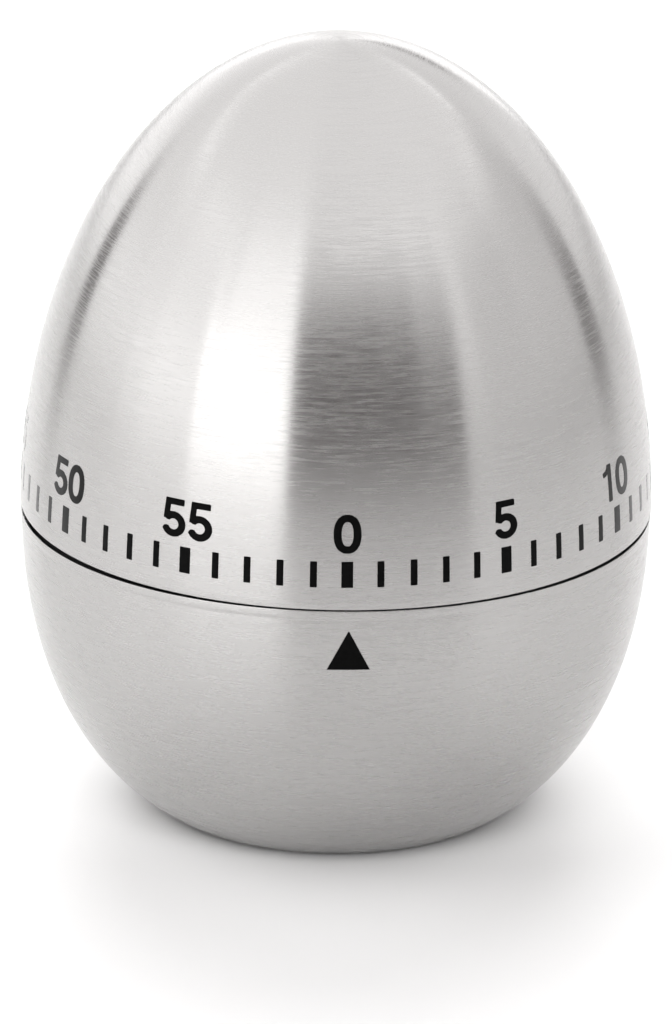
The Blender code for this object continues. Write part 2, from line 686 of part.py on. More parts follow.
def build_pallet():
    bearing = math.degrees(math.atan2(ESCAPE_AT[1] - PALLET_AT[1], ESCAPE_AT[0] - PALLET_AT[0]))
    distance = math.hypot(ESCAPE_AT[1] - PALLET_AT[1], ESCAPE_AT[0] - PALLET_AT[0])
    spread = math.radians(38.0)
    reach = ESCAPE_TIP + 0.65
    tip = (distance - reach * math.cos(spread), reach * math.sin(spread))
    side = [(1.2, 1.0), (2.4, 3.1), tip, (2.6, 4.8), (1.7, 4.7), (-0.7, 1.5), (-1.4, 0.8)]
    outline = side + [(x, -y) for x, y in reversed(side)]
    bore = circle(0.65, SMALL_SEGMENTS)
    body = slab(moved(outline, turn=bearing), 16.1, 17.0, [bore])
    finish("pallet_lever", body, *BRASS, at=PALLET_AT)
    finish("pallet_arbor", arbor(0.5), *POLISHED, at=PALLET_AT)

    rim = 3.9
    edge = 0.9
    first = math.degrees(math.asin(edge / rim))
    window = [polar(rim, first + i * (180.0 - 2 * first) / 10) for i in range(11)]
    window += [(-1.6, edge), (-0.9, 1.4), (0.9, 1.4), (1.6, edge)]
    holes = [bore, window, moved(window, turn=180.0)]
    finish("balance", slab(circle(4.9, 24), 18.2, 19.4, holes), *BRASS, at=PALLET_AT)


def build_striker():
    head_at = (-15.6 - HAMMER_AT[0], -7.75 - HAMMER_AT[1])
    shoulder = UPPER_PLATE_Z - CLEAR
    profile = [(0.0, 7.3), (0.7, 7.3), (0.7, shoulder), (0.45, shoulder), (0.45, PIVOT_TOP_Z), (0.0, PIVOT_TOP_Z)]
    finish("hammer_arbor", turned_body(profile), *POLISHED, at=HAMMER_AT)
    holes = [circle(0.85, SMALL_SEGMENTS), circle(0.9, HOLE_SEGMENTS, head_at)]
    outline = bar(head_at, 1.35, 1.6)
    finish("hammer_arm", slab(outline, 7.8, 8.6, holes), *POLISHED, at=HAMMER_AT)
    profile = [(0.0, 6.9), (1.5, 6.9), (1.5, 7.55), (0.7, 7.55), (0.7, 8.85), (1.5, 8.85), (1.5, 9.5), (0.0, 9.5)]
    head = turned_body(profile)
    bmesh.ops.translate(head, vec=(head_at[0], head_at[1], 0.0), verts=head.verts)
    finish("hammer_head", head, *PLATED, at=HAMMER_AT)
    gap = math.hypot(STRIKE_AT[0] - HAMMER_AT[0], STRIKE_AT[1] - HAMMER_AT[1])
    bearing = math.degrees(math.atan2(STRIKE_AT[1] - HAMMER_AT[1], STRIKE_AT[0] - HAMMER_AT[0]))
    tail_end = polar(gap - STAR_TIP - 0.95, bearing)
    holes = [circle(0.85, SMALL_SEGMENTS)]
    finish("hammer_tail", slab(bar(tail_end, 0.6, 1.5, 0.55), 17.0, 17.8, holes), *POLISHED, at=HAMMER_AT)

    slope = -0.149
    half = 0.65
    far = -19.5
    outline = [polar(1.5, -100.0 + i * 20.0) for i in range(11)]
    outline += [(-8.1, -8.1 * slope + half), (-8.7, 3.0), (-9.3, 3.0), (-9.9, -9.9 * slope + half)]
    outline += [(far, far * slope + 0.5), (far - 0.4, far * slope), (far, far * slope - 0.5)]
    lever = slab(outline, 20.0, 20.8, [circle(0.9, SMALL_SEGMENTS)])
    finish("release_lever", lever, *POLISHED, at=RELEASE_AT)


clear_scene()
build_shells()
build_base()
build_housing()
build_bell()
build_plates()
build_mainspring()
build_dial()
build_train()
build_pallet()
build_striker()
bpy.context.view_layer.update()
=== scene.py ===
"""Looks of the mechanical egg timer: brushed shells, printed minute scale, base parts, movement finishes."""

import json
import math

import bmesh
import bpy
import numpy as np
from mathutils import Matrix, Vector
from mathutils.geometry import tessellate_polygon


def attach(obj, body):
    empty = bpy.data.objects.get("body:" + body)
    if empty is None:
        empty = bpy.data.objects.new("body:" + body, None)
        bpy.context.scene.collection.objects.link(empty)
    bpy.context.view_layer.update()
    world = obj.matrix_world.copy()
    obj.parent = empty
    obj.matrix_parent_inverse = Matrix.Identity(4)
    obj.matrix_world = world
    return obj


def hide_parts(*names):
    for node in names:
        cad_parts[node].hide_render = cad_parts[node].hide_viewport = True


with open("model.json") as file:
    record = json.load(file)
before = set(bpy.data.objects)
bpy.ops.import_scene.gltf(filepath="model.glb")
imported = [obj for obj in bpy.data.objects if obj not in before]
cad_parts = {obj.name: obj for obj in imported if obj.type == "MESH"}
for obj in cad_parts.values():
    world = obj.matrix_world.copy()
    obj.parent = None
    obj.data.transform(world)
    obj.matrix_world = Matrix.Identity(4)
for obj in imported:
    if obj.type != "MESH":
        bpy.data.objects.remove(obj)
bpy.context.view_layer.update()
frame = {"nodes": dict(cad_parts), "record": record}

MM = 0.001

# shells, in millimetres; names that end in Z are heights above the table
SEAM_Z = 29.8
DOME_RADIUS = 30.0
DOME_HEIGHT = 46.0
BOWL_RADIUS = 29.88
BOWL_DEPTH_SCALE = 32.71
BOWL_DEPTH_POWER = 2.10
BOWL_RADIUS_POWER = 2.79
BOWL_BOTTOM_Z = 0.4
STEEL = 0.6
SHELL_STEPS = 192
DOME_LEAN = 0.0055  # radians, forwards

# the two edges at the seam: where they are, how they are trimmed and how far they run out of square
RIM_RISE = 0.165
LIP_DROP = 0.160
RIM_EDGE = 0.03
TRIM_WIDTH = 0.09
TRIM_DEPTH = 1.1
RIM_ZONE = 2.0
RIM_SLANT = 0.195
RIM_DIP = 0.07
LIP_SLANT = 0.05
LIP_DIP = 0.26
DIP_TURN = 12.0  # degrees

# rolled lip of the bowl: depth below the seam, and how far it stands proud of the bowl's curve
LIP_SHAPE = (
    (0.32, 0.05), (0.50, 0.055), (0.72, 0.05), (0.88, 0.036),
    (0.98, 0.006), (1.06, -0.014), (1.18, -0.006),
)
LIP_DEPTH = 1.45

# base
BASE_RECESS_RADIUS = 15.3
BASE_RECESS_Z = 2.9
RECESS_BEND = 0.3
SHELL_BORE = 3.0
CLEAR = 0.3
BEVEL = 0.25
COVER_RADIUS = 15.0
COVER_EDGE = 0.4
COVER_TOP_Z = 2.6
HUB_RADIUS = 3.5
FOOT_INNER = 11.2
FOOT_OUTER = 13.6
FOOT_TOP_Z = 1.0
FOOT_EDGE = 0.35
BASE_SCREW_CIRCLE = 7.5
BASE_SCREW_ANGLES = (90.0, 210.0, 330.0)
SCREW_HOLE = 1.2
SCREW_SINK = 2.3
SCREW_SINK_TOP = 1.8
SCREW_HEAD = ((0.0, 0.62), (0.9, 0.66), (1.45, 0.80), (1.78, 1.0), (1.9, 1.2), (1.9, 1.5), (0.85, 1.5))
THREAD_START = 2.7
THREAD_PITCH = 0.6
THREAD_TURNS = 8
CROSS_SIZE = (2.1, 0.42, 1.0)
CROSS_Z = 0.65

# print, in millimetres: heights are counted from the seam, and the ink's two faces from the shell
PRINT_SHIFT = -0.4  # degrees
TICK_LOW = 2.37
TICK_HIGH = 4.89
TICK_WIDTH = 0.66
TICK_CORNER = 0.06
LONG_TICK_WIDTH = 1.10
POINTER_APEX = 2.17
POINTER_BASE = 6.05
POINTER_WIDTH = 4.05
INK_LOW = 0.004
INK_HIGH = 0.014
SLICE = 0.7

# numerals: lowest point, and height and width of one drawing unit, in millimetres; the rest in drawing units
DIGIT_LOW = 5.70
DIGIT_HEIGHT = 3.63
DIGIT_WIDTH = 3.94
DIGIT_SPACING = 0.70
DIGIT_BODY = 0.66
STROKE = 0.190
BAR_STROKE = 0.170
GRID_STEP = 0.02

# camera, in millimetres and degrees, with the roll in radians and the shift in shares of the frame
CAMERA_DISTANCE = 1060.0
CAMERA_ELEVATION = 19.75
CAMERA_AZIMUTH = -2.58
CAMERA_ROLL = 0.0114
CAMERA_LENS = 391.7
CAMERA_SHIFT = (0.0002, -0.0109)
SENSOR = 36.0

# light rig round the timer and half the side of the floor, in metres
RIG_RADIUS = 0.7
RIG_CENTRE = 0.035
FLOOR_HALF = 12.0

# even light from all round
WORLD = 0.10
WORLD_COLOUR = (1.0, 0.86, 0.84, 1.0)


# ---------------------------------------------------------------- camera

def place_camera():
    """Long lens from a little above, aimed at the middle of the seam."""
    data = bpy.data.cameras.new("camera")
    data.sensor_width = SENSOR
    data.sensor_fit = "AUTO"
    data.lens = CAMERA_LENS
    data.clip_start = 0.01
    data.clip_end = 100.0
    data.shift_x, data.shift_y = CAMERA_SHIFT
    camera = bpy.data.objects.new("camera", data)
    bpy.context.scene.collection.objects.link(camera)
    azimuth = math.radians(CAMERA_AZIMUTH)
    elevation = math.radians(CAMERA_ELEVATION)
    flat = math.cos(elevation)
    back = Vector((math.sin(azimuth) * flat, -math.cos(azimuth) * flat, math.sin(elevation)))
    turn = back.to_track_quat("Z", "Y").to_matrix().to_4x4() @ Matrix.Rotation(CAMERA_ROLL, 4, "Z")
    place = Vector((0.0, 0.0, SEAM_Z * MM)) + back * CAMERA_DISTANCE * MM
    camera.matrix_world = Matrix.Translation(place) @ turn
    bpy.context.scene.camera = camera


place_camera()


# ---------------------------------------------------------------- meshes

def polar(radius, degrees):
    """Place on a circle about the upright axis."""
    angle = math.radians(degrees)
    return (radius * math.cos(angle), radius * math.sin(angle))


def new_object(name, bm, material, smooth=True, sharp=35.0):
    """A mesh object in metres from a bmesh in millimetres."""
    bmesh.ops.recalc_face_normals(bm, faces=bm.faces)
    if bm.calc_volume(signed=True) < 0:
        bmesh.ops.reverse_faces(bm, faces=bm.faces)
    bmesh.ops.transform(bm, matrix=Matrix.Scale(MM, 4), verts=bm.verts)
    for face in bm.faces:
        face.smooth = smooth
    for edge in bm.edges:
        if len(edge.link_faces) == 2 and edge.calc_face_angle(0.0) > math.radians(sharp):
            edge.smooth = False
    mesh = bpy.data.meshes.new(name)
    bm.to_mesh(mesh)
    bm.free()
    thing = bpy.data.objects.new(name, mesh)
    bpy.context.scene.collection.objects.link(thing)
    mesh.materials.append(material)
    return thing


def lathe(profile, steps):
    """Closed body of revolution from a closed loop of (radius, height)."""
    bm = bmesh.new()
    rings = []
    for radius, height in profile:
        if radius <= 1e-9:
            rings.append([bm.verts.new((0.0, 0.0, height))])
        else:
            places = [polar(radius, 360.0 * i / steps) for i in range(steps)]
            rings.append([bm.verts.new((x, y, height)) for x, y in places])
    for index, ring in enumerate(rings):
        following = rings[(index + 1) % len(rings)]
        if len(ring) == 1 and len(following) == 1:
            continue
        for i in range(steps):
            j = (i + 1) % steps
            corners = [ring[i % len(ring)], ring[j % len(ring)]]
            corners += [following[j % len(following)], following[i % len(following)]]
            bm.faces.new(list(dict.fromkeys(corners)))
    return bm


def dome_radius(height):
    """Outside radius of the dome at a height above the seam."""
    return DOME_RADIUS * math.sqrt(max(0.0, 1.0 - (height / DOME_HEIGHT) ** 2))


def bowl_radius(depth):
    """Outside radius of the bowl at a depth below the seam."""
    share = (max(depth, 0.0) / BOWL_DEPTH_SCALE) ** BOWL_DEPTH_POWER
    return BOWL_RADIUS * (1.0 - share) ** (1.0 / BOWL_RADIUS_POWER)


def inset(points, distance):
    """A line down the outside of a shell, moved inwards by a thickness."""
    result = []
    for i, (radius, height) in enumerate(points):
        before = points[max(i - 1, 0)]
        after = points[min(i + 1, len(points) - 1)]
        run = after[0] - before[0]
        rise = after[1] - before[1]
        length = math.hypot(run, rise)
        if radius == 0.0:
            result.append((0.0, height - distance))
        else:
            result.append((max(radius + distance * rise / length, 0.0), height - distance * run / length))
    return result


def arc(centre, radius, start, end, count):
    """Points on an arc between two angles in degrees, both ends included."""
    angles = (math.radians(start + (end - start) * i / count) for i in range(count + 1))
    return [(centre[0] + radius * math.cos(a), centre[1] + radius * math.sin(a)) for a in angles]


def dome_line(count=96):
    """Outside of the dome from its top down to its rim."""
    last = math.asin(RIM_RISE / DOME_HEIGHT)
    points = [(0.0, SEAM_Z + DOME_HEIGHT)]
    for i in range(1, count + 1):
        angle = math.pi / 2 + (last - math.pi / 2) * i / count
        points.append((DOME_RADIUS * math.cos(angle), SEAM_Z + DOME_HEIGHT * math.sin(angle)))
    return points


def bowl_line(count=72):
    """Outside of the bowl from under its rolled lip down to the edge of its base."""
    first = LIP_DEPTH
    deepest = SEAM_Z - BOWL_BOTTOM_Z - 0.5
    points = []
    for i in range(count + 1):
        depth = first + (deepest - first) * math.sin(0.5 * math.pi * i / count)
        points.append((bowl_radius(depth), SEAM_Z - depth))
    return points


def build_dome(material):
    """Steel dome with a trimmed edge that runs a little out of square."""
    outer = dome_line()
    inner = inset(outer, STEEL)
    rim_z = outer[-1][1]
    outside = [p for p in outer if p[1] > rim_z + 1.5 * RIM_EDGE]
    inside = [p for p in inner if p[1] > rim_z + TRIM_DEPTH + 0.3]
    lip = arc((DOME_RADIUS - RIM_EDGE, rim_z + RIM_EDGE), RIM_EDGE, 0.0, -90.0, 4)
    lip += [(DOME_RADIUS - TRIM_WIDTH, rim_z), (DOME_RADIUS - STEEL, rim_z + TRIM_DEPTH)]
    bm = lathe(outside + lip + inside[::-1], SHELL_STEPS)
    run_out(bm, rim_z, -RIM_SLANT, RIM_DIP)
    dome = new_object("dome", bm, material)
    lean(dome)
    return dome


def lean(thing):
    """Leans a piece of the dial a little about the middle of the seam, as the dome sits on its carrier."""
    middle = Matrix.Translation((0.0, 0.0, SEAM_Z * MM))
    thing.data.transform(middle @ Matrix.Rotation(DOME_LEAN, 4, "X") @ middle.inverted())


def run_out(bm, edge_z, slant, dip):
    """Moves the edge of a shell up and down as it goes round: by slant at +X, and by dip at both sides."""
    for vert in bm.verts:
        weight = max(0.0, 1.0 - abs(vert.co.z - edge_z) / RIM_ZONE)
        azimuth = math.atan2(vert.co.x, -vert.co.y)
        wave = math.sin(azimuth + math.radians(DIP_TURN)) ** 2
        vert.co.z += weight * (slant * math.sin(azimuth) + dip * wave)


def build_bowl(material):
    """Steel bowl: rolled lip, curved side, soft edge round the base, recess for the base cover."""
    rim_z = SEAM_Z - LIP_DROP
    lip_r = BOWL_RADIUS + LIP_SHAPE[0][1]
    lip = arc((lip_r - RIM_EDGE, rim_z - RIM_EDGE), RIM_EDGE, 90.0, 5.0, 4)
    lip += [(bowl_radius(depth) + swell, SEAM_Z - depth) for depth, swell in LIP_SHAPE]
    side = bowl_line()
    corner_r = side[-1][0]
    corner = [(corner_r - 0.55, BOWL_BOTTOM_Z + 0.14), (corner_r - 1.1, BOWL_BOTTOM_Z)]
    floor_z = BOWL_BOTTOM_Z + STEEL
    recess_top = BASE_RECESS_Z + STEEL
    recess_r = BASE_RECESS_RADIUS
    mouth = arc((recess_r + RECESS_BEND, BOWL_BOTTOM_Z + RECESS_BEND), RECESS_BEND, -90.0, -180.0, 4)
    bend = arc((recess_r - RECESS_BEND, BASE_RECESS_Z - RECESS_BEND), RECESS_BEND, 0.0, 90.0, 4)
    floor = [(SHELL_BORE, BASE_RECESS_Z), (SHELL_BORE, recess_top)]
    floor += [(recess_r + STEEL, recess_top), (recess_r + STEEL, floor_z)]
    inside = [p for p in inset(side, STEEL) if floor_z < p[1] < rim_z - TRIM_DEPTH - 0.1]
    trim = [(BOWL_RADIUS - STEEL, rim_z - TRIM_DEPTH), (lip_r - TRIM_WIDTH, rim_z)]
    bm = lathe(lip + side + corner + mouth + bend + floor + inside[::-1] + trim, SHELL_STEPS)
    run_out(bm, rim_z, -LIP_SLANT, -LIP_DIP)
    bowl = new_object("bowl", bm, material)
    holes = bmesh.new()
    middle = BASE_RECESS_Z + STEEL / 2
    for angle in BASE_SCREW_ANGLES:
        add_cylinder(holes, angle, SCREW_HOLE, middle - 1.5, middle + 1.5, 32)
    cut_out(bowl, holes)
    return bowl


def add_cylinder(bm, angle, radius, low, high, segments):
    """Adds a closed cylinder at the angle of a base screw, in metres, to a bmesh."""
    x, y = polar(BASE_SCREW_CIRCLE * MM, angle)
    place = Matrix.Translation((x, y, 0.5 * (low + high) * MM))
    bmesh.ops.create_cone(bm, cap_ends=True, segments=segments, radius1=radius * MM, radius2=radius * MM,
                          depth=(high - low) * MM, matrix=place)


def cut_out(target, cutter_bm):
    """Cuts the closed bodies of a bmesh in metres out of an object."""
    mesh = bpy.data.meshes.new("cutter")
    cutter_bm.to_mesh(mesh)
    cutter_bm.free()
    cutter = bpy.data.objects.new("cutter", mesh)
    bpy.context.scene.collection.objects.link(cutter)
    modifier = target.modifiers.new("cut", "BOOLEAN")
    modifier.operation = "DIFFERENCE"
    modifier.solver = "EXACT"
    modifier.object = cutter
    bpy.context.view_layer.update()
    done = bpy.data.meshes.new_from_object(target.evaluated_get(bpy.context.evaluated_depsgraph_get()))
    target.modifiers.remove(modifier)
    target.data = done
    bpy.data.objects.remove(cutter, do_unlink=True)


def build_cover(material):
    """Plastic base cover with a groove for the foot ring and sunk screw holes."""
    bottom = BOWL_BOTTOM_Z
    groove_top = FOOT_TOP_Z + CLEAR
    groove_in = FOOT_INNER - CLEAR
    groove_out = FOOT_OUTER + CLEAR
    profile = [(0.0, bottom + BEVEL), (HUB_RADIUS - 0.3, bottom + BEVEL), (HUB_RADIUS, bottom)]
    profile += [(groove_in - BEVEL, bottom), (groove_in, bottom + BEVEL), (groove_in, groove_top)]
    profile += [(groove_out, groove_top), (groove_out, bottom + 0.2), (groove_out + 0.2, bottom)]
    profile += [(COVER_RADIUS - COVER_EDGE, bottom)]
    profile += arc((COVER_RADIUS - COVER_EDGE, bottom + COVER_EDGE), COVER_EDGE, -70.0, 0.0, 4)
    profile += [(COVER_RADIUS, COVER_TOP_Z), (0.0, COVER_TOP_Z)]
    cover = new_object("base_plate", lathe(profile, SHELL_STEPS), material)
    for angle in BASE_SCREW_ANGLES:
        holes = bmesh.new()
        add_cylinder(holes, angle, SCREW_SINK, bottom - 1.0, SCREW_SINK_TOP, 48)
        add_cylinder(holes, angle, SCREW_HOLE, 1.0, COVER_TOP_Z + 1.0, 48)
        cut_out(cover, holes)
    return cover


def build_foot(material):
    """Rubber foot ring with rounded edges and a fine groove round the middle of its sole."""
    middle = 0.5 * (FOOT_INNER + FOOT_OUTER)
    ring = [(FOOT_OUTER, FOOT_TOP_Z), (FOOT_OUTER, FOOT_EDGE)]
    ring += arc((FOOT_OUTER - FOOT_EDGE, FOOT_EDGE), FOOT_EDGE, 0.0, -90.0, 5)[1:]
    ring += [(middle + 0.3, 0.0), (middle + 0.2, 0.12), (middle - 0.2, 0.12), (middle - 0.3, 0.0)]
    ring += arc((FOOT_INNER + FOOT_EDGE, FOOT_EDGE), FOOT_EDGE, -90.0, -180.0, 5)
    ring += [(FOOT_INNER, FOOT_TOP_Z)]
    return new_object("rubber_foot", lathe(ring, SHELL_STEPS), material)


def build_screw(number, angle, material):
    """Pan-head screw, head down, with a cross recess and a thread."""
    profile = list(SCREW_HEAD)
    for turn in range(THREAD_TURNS):
        z = THREAD_START + THREAD_PITCH * turn
        profile += [(0.74, z), (0.85, z + 0.2), (0.74, z + 0.4)]
    profile += [(0.5, 7.6), (0.0, 7.8)]
    screw = new_object(f"cover_screw_{number}", lathe(profile, 40), material)
    for turn in (0.0, 90.0):
        cross = bmesh.new()
        spin = Matrix.Rotation(math.radians(turn + 20.0 * number), 4, "Z")
        size = Matrix.Diagonal((*(side * MM for side in CROSS_SIZE), 1.0))
        bmesh.ops.create_cube(cross, size=1.0, matrix=Matrix.Translation((0, 0, CROSS_Z * MM)) @ spin @ size)
        cut_out(screw, cross)
    x, y = polar(BASE_SCREW_CIRCLE * MM, angle)
    screw.data.transform(Matrix.Translation((x, y, 0.0)))
    return screw


# ---------------------------------------------------------------- printed marks

def field_of(strokes, x, y):
    """Signed distance to the nearest stroke: (points, width), with square ends and round joints."""
    best = np.full(x.shape, 9.0)
    for points, width in strokes:
        half = width / 2
        for (ax, ay), (bx, by) in zip(points, points[1:]):
            dx, dy = bx - ax, by - ay
            length = math.hypot(dx, dy)
            along = ((x - ax) * dx + (y - ay) * dy) / length
            across = np.abs(((x - ax) * dy - (y - ay) * dx) / length) - half
            ends = np.maximum(-along, along - length)
            best = np.minimum(best, np.maximum(across, ends))
        for jx, jy in points[1:-1]:
            best = np.minimum(best, np.hypot(x - jx, y - jy) - half)
        if points[0] == points[-1]:
            best = np.minimum(best, np.hypot(x - points[0][0], y - points[0][1]) - half)
    return best


def contours(strokes):
    """Closed outlines of strokes, found on a grid that is a little larger than a numeral."""
    xs = np.arange(-0.1, 0.9, GRID_STEP)
    ys = np.arange(-0.1, 1.1, GRID_STEP)
    gx, gy = np.meshgrid(xs, ys, indexing="ij")
    f = field_of(strokes, gx, gy) + 1e-6
    links = {}
    places = {}

    def crossing(a, b):
        key = (min(a, b), max(a, b))
        if key not in places:
            fa, fb = f[key[0]], f[key[1]]
            t = fa / (fa - fb)
            (ai, aj), (bi, bj) = key
            places[key] = (xs[ai] * (1 - t) + xs[bi] * t, ys[aj] * (1 - t) + ys[bj] * t)
        return key

    for i in range(len(xs) - 1):
        for j in range(len(ys) - 1):
            cell = [(i, j), (i + 1, j), (i + 1, j + 1), (i, j + 1)]
            inside = [f[c] < 0 for c in cell]
            if all(inside) or not any(inside):
                continue
            for k in range(4):
                a, b = cell[k], cell[(k + 1) % 4]
                if inside[k] and not inside[(k + 1) % 4]:
                    start = crossing(a, b)
                    n = (k + 1) % 4
                    while inside[n] == inside[(n + 1) % 4]:
                        n = (n + 1) % 4
                    links[start] = crossing(cell[n], cell[(n + 1) % 4])
    loops = []
    while links:
        start, current = links.popitem()
        loop = [start]
        while current != start:
            loop.append(current)
            current = links.pop(current)
        loops.append(thinned([places[k] for k in loop]))
    return loops


def thinned(loop, tolerance=0.0025, longest=0.12):
    """A closed outline without the points that lie on a short straight run."""
    kept = [loop[0]]
    for i in range(1, len(loop)):
        ax, ay = kept[-1]
        px, py = loop[i]
        bx, by = loop[(i + 1) % len(loop)]
        length = math.hypot(bx - ax, by - ay) or 1e-9
        off = abs((px - ax) * (by - ay) - (py - ay) * (bx - ax)) / length
        if off > tolerance or length > longest:
            kept.append((px, py))
    return kept


def bend_points(cx, cy, a, b, start, end, count=18, power=2.0):
    """Points on an oval arc between two angles in degrees; a power over 2 squares the oval a little."""
    points = []
    for i in range(count + 1):
        angle = math.radians(start + (end - start) * i / count)
        c, s = math.cos(angle), math.sin(angle)
        x = a * math.copysign(abs(c) ** (2 / power), c)
        y = b * math.copysign(abs(s) ** (2 / power), s)
        points.append((cx + x, cy + y))
    return points


def digit_strokes(digit):
    """Centre lines of a plain numeral from 0 to 5, one unit tall."""
    w, bar = STROKE, BAR_STROKE
    half = bar / 2
    if digit == "0":
        ring = bend_points(0.33, 0.5, 0.33 - w / 2, 0.5 - half, 0.0, 360.0, 48, 2.35)
        ring[-1] = ring[0]
        return [(ring, w)]
    if digit == "1":
        flag = [(0.12, 0.76), (0.24, 0.785), (0.33, 0.86), (0.385, 0.985)]
        return [([(0.41, 0.0), (0.41, 1.0)], 0.165), (flag, 0.13)]
    if digit == "2":
        arch = bend_points(0.33, 0.70, 0.33 - w / 2, 0.30 - half, 175.0, -20.0)
        foot = [(0.50, 0.53), (0.36, 0.40), (0.22, 0.28), (0.13, 0.17), (0.105, 0.09)]
        return [(arch + foot, w), ([(0.02, half), (0.63, half)], bar)]
    if digit == "3":
        upper = bend_points(0.32, 0.735, 0.30 - w / 2, 0.265 - half, 165.0, -90.0)
        lower = bend_points(0.32, 0.295, 0.33 - w / 2, 0.295 - half, 90.0, -168.0)
        return [(upper, bar), (lower, bar + 0.01), ([(0.24, 0.535), (0.34, 0.535)], 0.15)]
    if digit == "4":
        slope = [(0.46, 0.95), (0.075, 0.34)]
        return [([(0.48, 0.0), (0.48, 1.0)], w), (slope, 0.15), ([(0.01, 0.29), (0.66, 0.29)], 0.155)]
    belly = bend_points(0.33, 0.325, 0.33 - w / 2, 0.325 - half, 143.0, -158.0, 22)
    back = [(0.166, 0.95), (0.128, 0.45)]
    return [([(0.60, 1.0 - half), (0.088, 1.0 - half)], bar), (back, 0.155), (belly, w)]


def wrapped(name, loop_sets, surface, material):
    """Thin print on a surface of revolution.

    Outlines are in millimetres of arc and of height, each set with its own angle from the front in degrees.
    """
    bm = bmesh.new()
    for loops, degrees in loop_sets:
        part = bmesh.new()
        polygons = [[Vector((x, y, 0.0)) for x, y in loop] for loop in loops]
        verts = [part.verts.new((x, y, 0.0)) for loop in loops for x, y in loop]
        for a, b, c in tessellate_polygon(polygons):
            part.faces.new((verts[a], verts[b], verts[c]))
        # cut into small facets, so that the print follows the curve
        for axis in (0, 1):
            normal = Vector((1.0 - axis, axis, 0.0))
            ends = [v.co[axis] for v in part.verts]
            for k in range(int(min(ends) / SLICE) - 1, int(max(ends) / SLICE) + 2):
                geometry = part.verts[:] + part.edges[:] + part.faces[:]
                place = k * SLICE * normal
                bmesh.ops.bisect_plane(part, geom=geometry, dist=1e-5, plane_co=place, plane_no=normal)
        bmesh.ops.recalc_face_normals(part, faces=part.faces)
        # a second layer, marked by z = 1, and walls up to it make the print a thin closed body
        faces = part.faces[:]
        outline = [edge for edge in part.edges if edge.is_boundary]
        upper = {v: part.verts.new((v.co.x, v.co.y, 1.0)) for v in part.verts[:]}
        for face in faces:
            part.faces.new([upper[v] for v in face.verts])
        for edge in outline:
            start, end = edge.verts
            part.faces.new((start, end, upper[end], upper[start]))
        middle = [v.co.y for v in part.verts]
        girth = surface(0.5 * (min(middle) + max(middle)))
        for v in part.verts:
            angle = math.radians(degrees) + v.co.x / girth
            radius = surface(v.co.y) + (INK_HIGH if v.co.z > 0.5 else INK_LOW)
            v.co = (radius * math.sin(angle), -radius * math.cos(angle), SEAM_Z + v.co.y)
        mesh = bpy.data.meshes.new("part")
        part.to_mesh(mesh)
        part.free()
        bm.from_mesh(mesh)
        bpy.data.meshes.remove(mesh)
    return new_object(name, bm, material, smooth=False)


def tick_loop(width):
    """Outline of a minute mark with slightly rounded corners."""
    side = width / 2 - TICK_CORNER
    low = TICK_LOW + TICK_CORNER
    high = TICK_HIGH - TICK_CORNER
    loop = arc((side, low), TICK_CORNER, -90.0, 0.0, 2)
    loop += arc((side, high), TICK_CORNER, 0.0, 90.0, 2)
    loop += arc((-side, high), TICK_CORNER, 90.0, 180.0, 2)
    loop += arc((-side, low), TICK_CORNER, 180.0, 270.0, 2)
    return loop


def build_print(material):
    """Minute marks and numbers round the dome, and the pointer on the bowl."""
    ticks = []
    for minute in range(60):
        width = LONG_TICK_WIDTH if minute % 5 == 0 else TICK_WIDTH
        ticks.append(([tick_loop(width)], PRINT_SHIFT + 6.0 * minute))
    marks = wrapped("minute_marks", ticks, dome_radius, material)
    lean(marks)

    shapes = {d: contours(digit_strokes(d)) for d in "012345"}
    numbers = []
    for minute in range(0, 60, 5):
        text = str(minute)
        total = DIGIT_SPACING * (len(text) - 1) + DIGIT_BODY
        for place, digit in enumerate(text):
            shift = place * DIGIT_SPACING - total / 2
            loops = [[((x + shift) * DIGIT_WIDTH, DIGIT_LOW + y * DIGIT_HEIGHT) for x, y in loop]
                     for loop in shapes[digit]]
            numbers.append((loops, PRINT_SHIFT + 6.0 * minute))
    digits = wrapped("minute_numbers", numbers, dome_radius, material)
    lean(digits)

    half = POINTER_WIDTH / 2
    triangle = [(-half, -POINTER_BASE), (half, -POINTER_BASE), (0.04, -POINTER_APEX), (-0.04, -POINTER_APEX)]
    pointer = wrapped("pointer", [([triangle], 0.0)], lambda height: bowl_radius(-height), material)
    return marks, digits, pointer


# ---------------------------------------------------------------- materials

